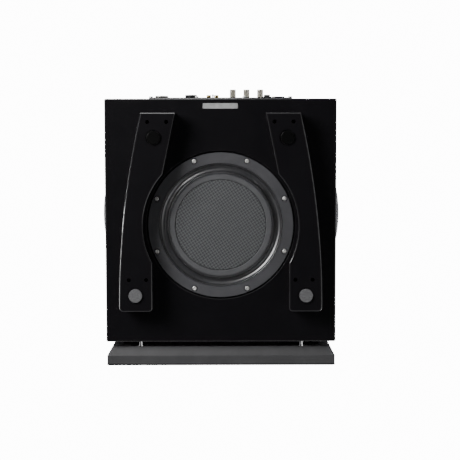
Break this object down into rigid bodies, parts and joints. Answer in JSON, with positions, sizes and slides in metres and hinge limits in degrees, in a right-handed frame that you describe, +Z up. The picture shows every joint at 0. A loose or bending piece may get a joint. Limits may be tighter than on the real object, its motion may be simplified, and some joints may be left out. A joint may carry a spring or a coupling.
{
  "type": "powered subwoofer",
  "caption": "Gloss-black cabinet on shaped foot rails: front driver behind a grille, down-firing passive radiator, side handles and a rear amplifier panel.",
  "frame": {"origin": "on the floor, under the middle of the object's bounding box", "axes": "+Z up; -Y towards the listener, through the grille; +X to the right as seen from the front"},
  "size_m": [0.4534, 0.4954, 0.416],
  "materials": {
    "lacquer": "high gloss black lacquer over fibreboard",
    "raw_board": "raw fibreboard",
    "wadding": "polyester wadding",
    "label": "satin silver film, blank",
    "black_steel": "black zinc",
    "bright_steel": "bright nickel",
    "pad_grey": "grey felt-faced rubber",
    "pad_black": "black rubber",
    "handle_metal": "brushed and bright anodised",
    "frame_paint": "matt black casting",
    "gasket": "closed foam",
    "surround": "satin butyl rubber",
    "spider_cloth": "resin-dipped cotton",
    "cone_ring": "moulded ring",
    "woven_disc": "woven composite",
    "steel": "machined steel",
    "driver_cone": "anodised alloy",
    "dust_cap": "gloss composite",
    "copper": "enamelled copper",
    "coil_former": "thin alloy",
    "ferrite": "sintered ferrite",
    "grille_frame": "satin black moulding",
    "grille_cloth": "black stretch knit",
    "pin_metal": "bright plated",
    "plate_paint": "fine black powder coat",
    "galvanised": "galvanised sheet",
    "circuit_board": "green solder resist",
    "capacitor_sleeve": "shrunk sleeve",
    "winding_tape": "polyester tape over windings",
    "knob_metal": "turned and anodised",
    "black_plastic": "moulded",
    "rocker_plastic": "moulded",
    "pin_brass": "plated brass",
    "nickel": "satin nickel",
    "gold_jack": "gold plated",
    "led_lens": "tinted lens"
  },
  "bodies": {
    "root": {"cabinet": "lacquer", "cabinet_brace": "raw_board", "damping_lining": "wadding", "rating_label": "label", "foot_rail_right": "lacquer", "foot_rail_left": "lacquer", "rail_screws": "black_steel", "front_foot_pads": "pad_grey", "rear_foot_pads": "pad_black", "handle_right": "handle_metal", "handle_left": "handle_metal", "handle_screws": "black_steel", "radiator_frame": "frame_paint", "radiator_surround": "surround", "radiator_spider": "spider_cloth", "frame_gaskets": "gasket", "frame_screws": "bright_steel", "driver_basket": "frame_paint", "driver_surround": "surround", "driver_spider": "spider_cloth", "top_plate": "steel", "magnet_ring": "ferrite", "back_plate": "steel", "grille_cups": "pin_metal", "amp_plate": "plate_paint", "amp_gasket": "gasket", "amp_screws": "bright_steel", "amp_housing": "galvanised", "circuit_board": "circuit_board", "capacitors": "capacitor_sleeve", "transformer": "winding_tape", "potentiometers": "nickel", "phase_switch_body": "nickel", "power_switch_body": "black_plastic", "mains_inlet": "black_plastic", "inlet_pins": "pin_brass", "xlr_socket": "nickel", "speaker_socket": "black_plastic", "rca_jacks": "gold_jack", "status_led": "led_lens"},
    "grille": {"grille_frame": "grille_frame", "grille_cloth": "grille_cloth", "grille_pins": "pin_metal"},
    "driver_moving": {"driver_cone": "driver_cone", "driver_dust_cap": "dust_cap", "voice_coil_former": "coil_former", "voice_coil_winding": "copper"},
    "radiator_moving": {"radiator_cone": "cone_ring", "radiator_disc": "woven_disc", "radiator_weight": "steel"},
    "lfe_level_control": {"lfe_level_knob": "knob_metal", "lfe_level_shaft": "steel"},
    "high_level_control": {"high_level_knob": "knob_metal", "high_level_shaft": "steel"},
    "crossover_control": {"crossover_knob": "knob_metal", "crossover_shaft": "steel"},
    "phase_lever": {"phase_switch_lever": "steel"},
    "power_key": {"power_rocker": "rocker_plastic"},
    "fuse_holder": {"fuse_drawer": "black_plastic"}
  },
  "joints": [
    {"name": "grille_pull", "type": "slide", "parent": "root", "child": "grille", "axis": [0, -1, 0], "range_m": [0, 0.06]},
    {"name": "driver_stroke", "type": "slide", "parent": "root", "child": "driver_moving", "axis": [0, -1, 0], "range_m": [-0.01, 0.01], "stiffness_N_per_m": 4000, "deforming": ["driver_surround", "driver_spider"]},
    {"name": "radiator_stroke", "type": "slide", "parent": "root", "child": "radiator_moving", "axis": [0, 0, -1], "range_m": [-0.012, 0.012], "stiffness_N_per_m": 6000, "springref_m": -0.0011, "deforming": ["radiator_surround", "radiator_spider"]},
    {"name": "lfe_level_turn", "type": "hinge", "parent": "root", "child": "lfe_level_control", "pos_m": [-0.023, 0.2247, 0.29], "axis": [0, -1, 0], "range_deg": [-150, 150]},
    {"name": "high_level_turn", "type": "hinge", "parent": "root", "child": "high_level_control", "pos_m": [-0.0496, 0.2247, 0.29], "axis": [0, -1, 0], "range_deg": [-150, 150]},
    {"name": "crossover_turn", "type": "hinge", "parent": "root", "child": "crossover_control", "pos_m": [-0.0762, 0.2247, 0.29], "axis": [0, -1, 0], "range_deg": [-150, 150]},
    {"name": "phase_toggle", "type": "hinge", "parent": "root", "child": "phase_lever", "pos_m": [0.016, 0.2257, 0.29], "axis": [-1, 0, 0], "range_deg": [0, 24]},
    {"name": "power_rock", "type": "hinge", "parent": "root", "child": "power_key", "pos_m": [-0.084, 0.2252, 0.143], "axis": [-1, 0, 0], "range_deg": [0, 18]},
    {"name": "fuse_pull", "type": "slide", "parent": "root", "child": "fuse_holder", "axis": [0, 1, 0], "range_m": [0, 0.016]}
  ]
}
